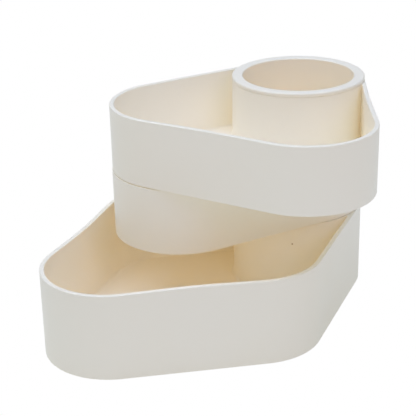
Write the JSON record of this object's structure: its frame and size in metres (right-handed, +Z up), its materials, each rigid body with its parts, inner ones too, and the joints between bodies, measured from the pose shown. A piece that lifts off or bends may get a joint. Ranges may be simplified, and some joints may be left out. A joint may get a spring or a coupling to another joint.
{
  "type": "tool storage caddy",
  "caption": "Desk caddy of stacked rounded trays that swivel out around a deep round pen cup in one corner.",
  "frame": {"origin": "on the swivel axis, at the surface the caddy stands on: the underside of the foot below the pen cup", "axes": "+Z up along the swivel axis; +X from the swivel axis along the base tray's long diagonal"},
  "size_m": [0.2231, 0.2192, 0.1338],
  "materials": {
    "ivory_plastic": "satin moulded",
    "white_acetal": "smooth",
    "zinc_steel": "zinc plated",
    "grey_rubber": "matt"
  },
  "bodies": {
    "base": {"base_tray": "ivory_plastic", "pen_cup": "ivory_plastic", "lower_washer": "white_acetal", "clamp_screw_1": "zinc_steel", "clamp_screw_2": "zinc_steel", "clamp_screw_3": "zinc_steel", "pivot_foot": "grey_rubber", "hub_edge_foot": "grey_rubber", "right_foot": "grey_rubber", "far_foot": "grey_rubber", "left_foot": "grey_rubber"},
    "middle": {"middle_tray": "ivory_plastic", "middle_washer": "white_acetal"},
    "upper": {"upper_tray": "ivory_plastic", "upper_washer": "white_acetal"}
  },
  "joints": [
    {"name": "middle_swivel", "type": "hinge", "parent": "base", "child": "middle", "pos_m": [0, 0, 0.072], "axis": [0, 0, 1], "continuous": true},
    {"name": "upper_swivel", "type": "hinge", "parent": "base", "child": "upper", "pos_m": [0, 0, 0.112], "axis": [0, 0, 1], "continuous": true}
  ]
}
